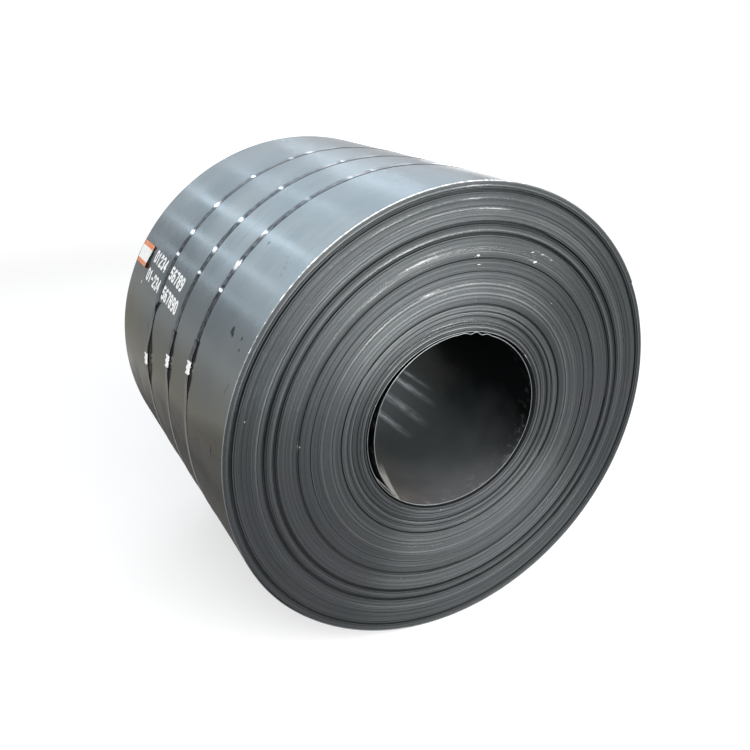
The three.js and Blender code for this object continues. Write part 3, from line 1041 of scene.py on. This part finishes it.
across_bore = np.concatenate([np.linspace(0, 0.06, 9), np.linspace(0.1, 0.96, 18), [1.0]])
sprung = wound_strip("inner_turns", np.arange(0, sprung_travel - hairline, 1.0), across_bore,
                     bore_scale, frill)

for piece in (tight, outermost, sprung):
    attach(piece, "root")
    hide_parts("coil")

# %% [markdown]
# ## Straps
#
# Each strap is one band of blued steel, 32 mm wide and 1 mm thick, drawn tight round the coil
# by a machine. Its inner end runs a little way under the seal, and its outer end lies on top
# and sticks out above it. Where the two lie on each other, and where they climb into the
# seal, the band stands off the coil, and there a dark gap shows along its edge. The joint as
# a whole stands a few millimetres off too, and the longest outer end has sprung up at its tip.
#
# The blue is a film of oxide, smudged and turned to straw here and there, and rubbed off
# along both edges. Short stretches are painted as bright bare steel where the lamps glint on
# the band: these are painted glints, listed with each strap. Below the seals brown dust
# covers it.
#
# A flat section on a curve could be a strap too, but its width couldn't give way where the
# seal is crimped. The rules here are those that place the straps in the solids, on a finer
# grid and with the band's sharp edges taken off.

# %% Blued strap steel
dark_blueing, pale_blueing, straw = (
    (0.006, 0.008, 0.012), (0.090, 0.098, 0.100), (0.058, 0.046, 0.028))
worn_edge, glint_white, strap_dust = (
    (0.13, 0.135, 0.14), (0.80, 0.81, 0.82), (0.058, 0.047, 0.031))

blued, shader, tree = finish("blued_strap")
measure, painted_glints = stored(tree, "measure", "Vector"), stored(tree, "painted_glints")
_, across_band, _ = split(measure)
_, _, height = split(place_in(tree))
rubbed = noise(measure, 1.0, 4, 0.6, (42, 70, 1))
heat = noise(measure, 1.0, 2, 0.5, (2.2, 3, 1))
film = blended(ranged(rubbed, 0.42, 0.60), dark_blueing, pale_blueing)
film = blended(ranged(heat, 0.52, 0.66, 0, 0.75), film, straw)
to_edge = plus(reckon("ABSOLUTE", across_band), times(rubbed, 0.006))
film = blended(ranged(to_edge, 0.0176, 0.0195), film, worn_edge)
# painted glints: bright bare steel on the stretches where the lamps glint
bare = times(painted_glints, ranged(rubbed, 0.38, 0.55, 0.15, 1.0))
film = blended(bare, film, glint_white)
dust = ranged(plus(height, times(rubbed, 0.4)), 1.20, 1.50, 0.95, 0.0)
polish = ranged(rubbed, 0.3, 0.7, 0.05, 0.10)
feed(shader, {
    "Base Color": blended(dust, film, strap_dust),
    "Metallic": reckon("SUBTRACT", 1.0, dust),
    "Specular IOR Level": 0.2, "Specular Tint": (0.66, 0.68, 0.72),
    "Roughness": plus(polish, times(dust, 0.35)),
})
print("made", blued.name, "with", len(tree.nodes), "nodes")

# %% Name the straps' sizes, in metres
strap_width, strap_thickness = 0.032, 0.001
clearance = 0.0003
softened = 0.00025
seal_length, seal_wall = 0.052, 0.0014
seal_room = 2 * strap_thickness + 3 * clearance
seal_flat = seal_length / 2 + 0.004
strap_ramp, stand_ramp = 0.070, 0.130
sprung_length = 0.060
strap_underlap = 0.045
notch_depth, notch_pitch, notch_half_width = 0.0055, 0.024, 0.0034
sway_height, sway_start, sway_reach, sway_fade = 0.0030, 0.6, 0.034, 0.008
crimped_half_length = 0.022
girth = 2 * math.pi * rim_radius
print("girth", round(girth, 3), "m and seals", seal_length, "m long")

# %% Say where a strap lies
def smooth_step(value, low, high):
    """0 below low, 1 above high, and an s-shaped cubic between them."""
    t = np.clip((value - low) / (high - low), 0, 1)
    return t * t * (3 - 2 * t)


def strap_radius(angle):
    """Radius that a strap lies on: the coil's outside, and a straight bridge over the step at
    the strip's outer end."""
    bridge = math.degrees(math.sqrt(2 * strip_thickness / rim_radius))
    to_end = np.mod(outer_tail_angle - angle, 360)
    return outside_at(angle) + strip_thickness * np.clip(1 - to_end / bridge, 0, 1)


def strap_height(strap, round_seal, outer):
    """How high a strap's underside runs at a distance round from the seal's middle: a
    clearance, plus what its joint stands off the coil, plus the climb over the seal's lower
    wall, plus its own inner end where the outer end lies on that. The last 60 mm of the outer
    end springs up with the square of the distance."""
    near = np.abs(round_seal)
    climb = 1 - smooth_step(near, seal_flat, seal_flat + strap_ramp)
    stand = 1 - smooth_step(near, seal_flat, seal_flat + stand_ramp)
    doubled = np.where(outer, 1 - smooth_step(round_seal, strap_underlap + 0.005,
                                              strap_underlap + strap_ramp), 0)
    tip = np.where(outer, np.clip(1 - (round_seal + strap["tail"]) / sprung_length, 0, None), 0)
    return (clearance + strap["stand"] * stand + (seal_wall + clearance) * climb
            + (strap_thickness + clearance) * doubled + strap["spring"] * tip ** 2)


def notch(round_seal):
    """1 inside the two notches that the crimping tool presses, and 0 away from them: a bell
    with a flat top, at half the pitch on either side of the seal's middle."""
    return 1 / (1 + ((np.abs(round_seal) - notch_pitch / 2) / notch_half_width) ** 8)


def sway(round_seal):
    """Metres that the crimps push the joint to and fro: one wave for each pitch, which dies
    out just past the seal's ends."""
    fade = np.clip((sway_reach - np.abs(round_seal)) / sway_fade, 0, 1)
    return sway_height * fade * np.sin(2 * np.pi * round_seal / notch_pitch + sway_start)


def laid_on(strap, round_seal, across, above):
    """A point on the coil: round from the seal's middle, across from the strap's middle and
    above the coil's outside, all in metres."""
    angle = strap["seal_angle"] + np.degrees(round_seal / rim_radius)
    return on_coil(angle, strap_radius(angle) + above, near_rim + strap["place"] + across)


def band_places(strap):
    """Distances from the strap's inner end: every third of a degree round the coil, every 4 mm
    where it climbs, and every millimetre in the seal, which it passes twice."""
    climbing = seal_flat + stand_ramp
    first_pass, second_pass = strap_underlap, girth + strap_underlap
    end = second_pass + strap["tail"]
    in_seal = [np.arange(middle - crimped_half_length, middle + crimped_half_length, 0.001)
               for middle in (first_pass, second_pass)]
    return np.unique(np.concatenate([
        np.arange(0, first_pass + climbing, 0.004),
        np.arange(first_pass + climbing, second_pass - climbing, girth / 1080),
        np.arange(second_pass - climbing, end, 0.004), *in_seal, [end]]).round(5))


for side, strap in straps.items():
    print(side, "strap is laid through", len(band_places(strap)), "places")

# %% Draw the straps round the coil
# The band's section, one corner to a row, with each sharp corner cut off. Across: which side,
# and how many cuts in or out of it. Above: the bottom or the top, and how many cuts up.
section = [(-1, 0, 0, 1), (-1, 1, 0, 0), (1, -1, 0, 0), (1, 0, 0, 1),
           (1, 0, 1, -1), (1, -1, 1, 0), (-1, 1, 1, 0), (-1, 0, 1, -1)]


def band(side, strap):
    """One strap: the section carried from its inner end once round the coil to its tip. Its
    half width gives way at the notches, and its underside follows strap_height."""
    at = band_places(strap)
    outer = at > girth / 2
    from_seal = strap_underlap - at + np.where(outer, girth, 0)
    low = strap_height(strap, from_seal, outer)
    half = strap_width / 2 - notch_depth * notch(from_seal)
    across = np.stack([edge * half + cut * softened + sway(from_seal)
                       for edge, cut, _, _ in section], axis=1)
    above = np.stack([low + top * strap_thickness + cut * softened
                      for _, _, top, cut in section], axis=1)
    path = (strap_underlap - at)[:, None] * np.ones((1, len(section)))
    points = laid_on(strap, path, across, above).reshape(-1, 3)

    rows, columns = path.shape
    quads, _ = grid_quads(rows, columns)
    first_cap = tuple(range(columns))
    last_cap = tuple((rows - 1) * columns + k for k in reversed(first_cap))
    faces = facing_out(points, quads, [first_cap, last_cap])
    piece = build_mesh("band_" + side, points, faces, np.zeros(len(faces)), [blued], 40)
    store(piece, "measure", np.stack([path, across, above], axis=-1).reshape(-1, 3))
    # how strongly each place along the band is painted as a glint
    angle = strap["seal_angle"] + np.degrees(path / rim_radius)
    store(piece, "painted_glints", sum(strength * np.exp(-((angle - middle) / half_length) ** 4)
                             for middle, half_length, strength in strap["painted_glints"]).ravel())
    return piece


for side, strap in straps.items():
    piece = band(side, strap)
    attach(piece, "root")
    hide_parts("strap_" + side)

# %% [markdown]
# ## Seals
#
# A seal is a short sleeve of zinc-plated sheet. The crimping tool bites through its two edges
# in two places, seal and straps together, and leaves three lobes a side. Notches could be cut
# out of a plain sleeve, but a crimp bends the metal and takes none away, so cuts would look
# wrong. Instead the sleeve is a rounded rectangle carried round the coil, whose width follows
# the same notches and the same sway as the straps inside it, and the two still fit. Its outer
# skin and its inner skin make one closed loop.

# %% Zinc plate
zinc, shader, tree = finish("zinc_plate")
spangle = noise(place_in(tree), 260, 3, 0.6)
feed(shader, {
    "Base Color": blended(ranged(spangle, 0.3, 0.7), (0.72, 0.73, 0.72), (0.92, 0.93, 0.92)),
    "Metallic": 0.6, "Roughness": ranged(spangle, 0.3, 0.7, 0.26, 0.42),
    "Normal": relief(spangle, 0.0002),
})
print("made", zinc.name)

# %% Crimp the seals
seal_rows, corner_steps = 73, 5
outer_corner, inner_corner = 0.0014, 0.0004
flare_depth, askew = 0.0006, 0.06


def rounded_loop(half_width, half_height, corner):
    """A rounded rectangle as rows of (across, above) corners, one row for each half width:
    four quarter circles of that corner radius, pushed out to the rectangle's corners."""
    quarter = np.linspace(0, math.pi / 2, corner_steps)
    turn_at = np.concatenate([quarter + k * math.pi / 2 for k in range(4)])
    side_x = np.repeat([1, -1, -1, 1], corner_steps)
    side_z = np.repeat([1, 1, -1, -1], corner_steps)
    across = (half_width[:, None] - corner) * side_x + corner * np.cos(turn_at)
    above = (half_height - corner) * side_z + corner * np.sin(turn_at)
    return across, above * np.ones_like(across)


def crimped_seal(side, strap):
    """One sleeve. Rows run along it, with the outer skin first and the inner skin back, so
    that the loop of rows closes on itself. The top sinks a little at the crimps, and the
    whole is a little askew."""
    length = np.linspace(-0.5, 0.5, seal_rows) * seal_length
    flare = flare_depth * (np.cos(2 * math.pi * length / notch_pitch) - 1) / 2
    outer_half = strap_width / 2 + clearance + seal_wall - notch_depth * notch(length)
    middle = clearance + strap["stand"] + seal_room / 2 + seal_wall
    outer_x, outer_z = rounded_loop(outer_half, seal_room / 2 + seal_wall, outer_corner)
    inner_x, inner_z = rounded_loop(outer_half - seal_wall, seal_room / 2, inner_corner)
    swayed = sway(length)[:, None]
    across = np.concatenate([outer_x + swayed, (inner_x + swayed)[::-1]])
    above = middle + np.concatenate([outer_z + flare[:, None] * (outer_z > 0), inner_z[::-1]])
    path = np.concatenate([length, length[::-1]])[:, None]
    grid = laid_on(strap, path + askew * across, across, above)

    rows, columns = grid.shape[:2]
    quads = grid_quads(rows + 1, columns)[0] % (rows * columns)
    points = grid.reshape(-1, 3)
    return build_mesh("crimped_seal_" + side, points, facing_out(points, quads),
                      np.zeros(len(quads)), [zinc], 50)


for side, strap in straps.items():
    seal = crimped_seal(side, strap)
    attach(seal, "root")
    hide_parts("seal_" + side)

# %% [markdown]
# ## Painted figures
#
# The mill sprays the coil's numbers on its side through a stencil. The numbers here are plain
# ones that name nothing. A text object would set them in a font, but sprayed figures are
# coarser than any font, and a text's few long faces don't bend well round a curve.
#
# So each figure is a few strokes in a box one unit wide and high. A fine grid of cells is laid
# over a line of figures, a cell is painted where its middle lies within half a stroke of a
# line, and the painted cells are raised by the thickness of the paint and bent round the coil.

# %% Marking paint
paint, shader, tree = finish("marking_paint")
flaked = noise(place_in(tree), 95, 4, 0.65)
feed(shader, {
    "Base Color": blended(ranged(flaked, 0.56, 0.72), (0.95, 0.95, 0.94), (0.55, 0.57, 0.58)),
    "Roughness": 0.75, "Normal": relief(flaked, 0.0002),
})
print("made", paint.name)

# %% Figures as strokes
figure_strokes = {
    "0": [(0.2, 0), (0.8, 0), (1, 0.15), (1, 0.85), (0.8, 1), (0.2, 1), (0, 0.85), (0, 0.15),
          (0.2, 0)],
    "1": [(0.15, 0.8), (0.5, 1), (0.5, 0)],
    "2": [(0, 0.8), (0.2, 1), (0.8, 1), (1, 0.8), (1, 0.62), (0, 0), (1, 0)],
    "3": [(0, 0.9), (0.2, 1), (0.8, 1), (1, 0.85), (1, 0.65), (0.6, 0.53), (1, 0.4),
          (1, 0.15), (0.8, 0), (0.2, 0), (0, 0.1)],
    "4": [(0.75, 0), (0.75, 1), (0, 0.3), (1, 0.3)],
    "5": [(1, 1), (0.05, 1), (0, 0.55), (0.75, 0.6), (1, 0.42), (1, 0.15), (0.8, 0),
          (0.2, 0), (0, 0.1)],
    "6": [(0.9, 1), (0.3, 1), (0, 0.7), (0, 0.15), (0.2, 0), (0.8, 0), (1, 0.15),
          (1, 0.42), (0.8, 0.55), (0, 0.5)],
    "7": [(0, 1), (1, 1), (0.4, 0)],
    "8": [(0.2, 0.53), (0, 0.7), (0, 0.88), (0.2, 1), (0.8, 1), (1, 0.88), (1, 0.7),
          (0.8, 0.53), (0.2, 0.53), (0, 0.38), (0, 0.14), (0.2, 0), (0.8, 0), (1, 0.14),
          (1, 0.38), (0.8, 0.53)],
    "9": [(0.1, 0), (0.7, 0), (1, 0.3), (1, 0.85), (0.8, 1), (0.2, 1), (0, 0.85),
          (0, 0.6), (0.2, 0.47), (1, 0.5)],
    "-": [(0.1, 0.5), (0.9, 0.5)],
}
figure_height, stroke, cell = 0.060, 0.0122, 0.002
figure_share, line_margin = 0.56, 0.004
paint_gap, paint_thickness = 0.00008, 0.00012


def nearness(x, y, strokes):
    """Distance from each point to the nearest of the lines that join these corners: the point
    is dropped on each line, and held between the line's ends."""
    start, run = strokes[:-1], np.diff(strokes, axis=0)
    at = np.stack([x, y], axis=-1)[..., None, :] - start
    share = np.clip((at * run).sum(-1) / (run ** 2).sum(-1), 0, 1)
    return np.linalg.norm(at - share[..., None] * run, axis=-1).min(-1)


print("strokes for", len(figure_strokes), "figures")

# %% Paint the lines of figures
def inked_cells(x, y, figures, step):
    """True for each cell whose middle lies within half a stroke of a figure's lines. Each
    figure fills the middle of its own step along the line."""
    box = np.array([figure_share * step, figure_height - stroke])
    inked = np.zeros(x.shape, bool)
    for number, figure in enumerate(figures):
        left = (number + 0.5) * step - box[0] / 2
        strokes = (np.array(figure_strokes[figure]) - [0, 0.5]) * box + [left, 0]
        inked |= nearness(x, y, strokes) < stroke / 2
    return inked


def raised_cells(inked):
    """The quads of the inked cells, over a grid with a lower and an upper point at each
    corner: a top and a bottom for each cell, and a side wherever its neighbour is bare."""
    def corner(a, b, level):
        """The number of the point at a corner of the grid, lower or upper."""
        return (a * (inked.shape[1] + 1) + b) * 2 + level

    i, j = np.nonzero(inked)
    around = np.pad(inked, 1)
    corners = [(0, 0), (1, 0), (1, 1), (0, 1)]
    neighbours = [(0, -1), (1, 0), (0, 1), (-1, 0)]
    faces = [np.stack([corner(i + a, j + b, 1) for a, b in corners], 1),
             np.stack([corner(i + a, j + b, 0) for a, b in corners[::-1]], 1)]
    for (a0, b0), (a1, b1), (da, db) in zip(corners, corners[1:] + corners[:1], neighbours):
        bare = ~around[i + 1 + da, j + 1 + db]
        p, q = i[bare], j[bare]
        faces.append(np.stack([corner(p + a0, q + b0, 0), corner(p + a1, q + b1, 0),
                               corner(p + a1, q + b1, 1), corner(p + a0, q + b0, 1)], 1))
    return np.concatenate(faces)


def painted_line(name, figures, far_place, near_place, middle_angle, lean):
    """A line of figures between two distances from the near rim. It reads towards the near
    end with its top towards the coil's top, and leans by a share of its own length."""
    length = far_place - near_place
    columns, rows = round(length / cell), round((figure_height + line_margin) / cell)
    x, y = np.meshgrid((np.arange(columns) + 0.5) * cell,
                       (np.arange(rows) + 0.5 - rows / 2) * cell, indexing="ij")
    quads = raised_cells(inked_cells(x, y, figures, length / len(figures)))

    x, y, level = np.meshgrid(np.arange(columns + 1) * cell,
                              (np.arange(rows + 1) - rows / 2) * cell, [0, 1], indexing="ij")
    angle = middle_angle - np.degrees((y + lean * (x - length / 2)) / rim_radius)
    above = paint_gap + paint_thickness * level
    points = on_coil(angle, outside_at(angle) + above, near_rim + far_place - x).reshape(-1, 3)
    used, quads = np.unique(quads, return_inverse=True)
    points, quads = points[used], quads.reshape(-1, 4)
    piece = build_mesh(name, points, facing_out(points, quads), np.zeros(len(quads)),
                       [paint], 40)
    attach(piece, "root")


# lines: name, figures, far place, near place and middle angle
lean = -0.045
for line in (
        ("figures_upper_far", "01234", 1.268, 1.066, 149.3),
        ("figures_upper_near", "56789", 0.996, 0.788, 150.0),
        ("figures_lower_far", "01-234", 1.282, 1.053, 154.8),
        ("figures_lower_near", "567890", 0.996, 0.758, 155.5)):
    painted_line(*line, lean)

# %% [markdown]
# ## Label
#
# A card with an orange band along each long edge is stuck to the side near the far end. Its
# end nearest the straps is torn and has come unstuck, so it curls up. A flat card could be
# bent into place by modifiers, one for each of the bend, the tear and the curl. On a grid of
# its own one formula does all three. It is the same kind of grid as the strip's, with the
# upper face first and the lower face back, and the faces within a fifth of its width from
# either edge wear the ink.

# %% Card and ink
card, shader, tree = finish("label_card")
soiled = noise(place_in(tree), 30, 4, 0.6)
feed(shader, {
    "Base Color": blended(ranged(soiled, 0.55, 0.75, 0, 0.7),
                          (0.95, 0.94, 0.92), (0.70, 0.68, 0.64)),
    "Roughness": 0.6, "Normal": relief(soiled, 0.0004),
})

orange_ink, shader, tree = finish("orange_ink")
faded = noise(place_in(tree), 45, 4, 0.6)
feed(shader, {
    "Base Color": blended(ranged(faded, 0.45, 0.75), (0.78, 0.20, 0.05), (0.72, 0.34, 0.18)),
    "Roughness": 0.55,
})
print("made", card.name, "and", orange_ink.name)

# %% Stick the label on
label_length, label_height, card_thickness = 0.182, 0.111, 0.0003
label_from_far_rim, label_angle = 0.013, 150.6
label_rows, label_columns, tear_knots = 48, 33, 14
most_torn, curl_height, curled_length = 0.009, 0.013, 0.045
label_gap, buckle_height = 0.0002, 0.0006
band_share = 0.19
label_rng = np.random.default_rng(3)


def label_sheet():
    """A thin sheet bent round the coil. Its torn edge wanders by up to 9 mm, and its lift
    grows with the square of the distance into the last 45 mm, most at the lower corner.
    Gives its upper and its lower face."""
    shares = np.linspace(0, 1, label_columns)
    u, v = np.meshgrid(np.linspace(0, 1, label_rows), shares, indexing="ij")
    tear = np.interp(shares, np.linspace(0, 1, tear_knots),
                     label_rng.uniform(0, most_torn, tear_knots))
    along = u * (label_length - tear[None, :])
    curled = np.clip((along - label_length + curled_length) / curled_length, 0, 1)
    lift = curl_height * curled ** 2 * (0.4 + 0.6 * v)
    wave = 1 + np.sin(9 * along / label_length + 5 * v)
    buckle = buckle_height * wave * np.clip(8 * (1 - v), 0, 1)
    angle = label_angle + np.degrees((v - 0.5) * label_height / rim_radius)
    lower = outside_at(angle) + label_gap + lift + buckle
    y = near_rim + strip_width - label_from_far_rim - along
    return on_coil(angle, lower + card_thickness, y), on_coil(angle, lower, y)


upper, lower = label_sheet()
around = 2 * label_columns
points = np.concatenate([upper, lower[:, ::-1]], axis=1).reshape(-1, 3)
quads, column = grid_quads(label_rows, around)
first_end = [(k, k + 1, around - 2 - k, around - 1 - k) for k in range(label_columns - 1)]
last_end = [tuple((label_rows - 1) * around + p for p in reversed(face)) for face in first_end]
ends = first_end + last_end
shares = np.concatenate([np.linspace(0, 1, label_columns), np.linspace(1, 0, label_columns)])
orange = (shares[column] < band_share) | (shares[column] > 1 - band_share)
label = build_mesh("label", points, facing_out(points, quads, ends),
                   np.concatenate([orange, np.zeros(len(ends))]), [card, orange_ink], 50)
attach(label, "root")
